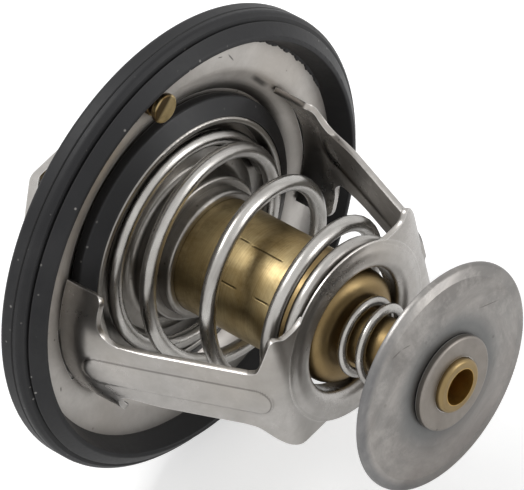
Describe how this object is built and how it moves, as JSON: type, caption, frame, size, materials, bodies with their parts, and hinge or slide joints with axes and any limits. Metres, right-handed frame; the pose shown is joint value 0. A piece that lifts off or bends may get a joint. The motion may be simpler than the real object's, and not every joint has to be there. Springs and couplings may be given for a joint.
{
  "type": "engine thermostat",
  "caption": "Engine thermostat with a rubber rimmed flange, a sprung valve plate in a stamped frame, a brass wax element and a sprung bypass disc.",
  "frame": {"origin": "on the axis, half way through the thickness of the flange's sheet", "axes": "+X runs along the axis from the flange through the spring to the bypass disc, the two frame legs lie along Y, and +Z points to the jiggle pin's side"},
  "size_m": [0.0709, 0.067, 0.067],
  "materials": {
    "flange": "matt bare steel with a pale grey film",
    "rim_rubber": "satin",
    "frame_steel": "satin, pressed",
    "piston_steel": "ground",
    "slip_disc": "smooth",
    "rubber": "matt",
    "spring_steel": "bright drawn wire",
    "element_brass": "satin, turned",
    "guide_brass": "turned",
    "wax": "wax filled with copper powder",
    "plate_steel": "pressed",
    "valve_rubber": "matt",
    "washer_steel": "satin",
    "disc_steel": "matt, stained",
    "pin_brass": "satin"
  },
  "bodies": {
    "housing": {"flange": "flange", "rim_seal": "rim_rubber", "lower_frame": "frame_steel", "front_bridge": "frame_steel", "piston": "piston_steel", "slip_disc": "slip_disc", "rubber_plunger": "rubber", "main_spring": "spring_steel"},
    "valve": {"element_case": "element_brass", "element_guide": "guide_brass", "piston_wiper": "rubber", "wax_charge": "wax", "diaphragm": "rubber", "valve_plate": "plate_steel", "valve_seal": "valve_rubber", "valve_collar": "plate_steel", "retaining_washer": "washer_steel", "bypass_spring": "spring_steel"},
    "bypass_valve": {"bypass_disc": "disc_steel"},
    "jiggle_pin": {"jiggle_pin": "pin_brass"}
  },
  "joints": [
    {"name": "valve_travel", "type": "slide", "parent": "housing", "child": "valve", "axis": [1, 0, 0], "range_m": [0, 0.008], "stiffness_N_per_m": 4400, "springref_m": -0.02, "deforming": ["main_spring"]},
    {"name": "bypass_travel", "type": "slide", "parent": "valve", "child": "bypass_valve", "axis": [-1, 0, 0], "range_m": [0, 0.004], "stiffness_N_per_m": 5000, "springref_m": -0.002, "deforming": ["bypass_spring"]},
    {"name": "jiggle_travel", "type": "slide", "parent": "housing", "child": "jiggle_pin", "axis": [1, 0, 0], "range_m": [0, 0.001]}
  ]
}
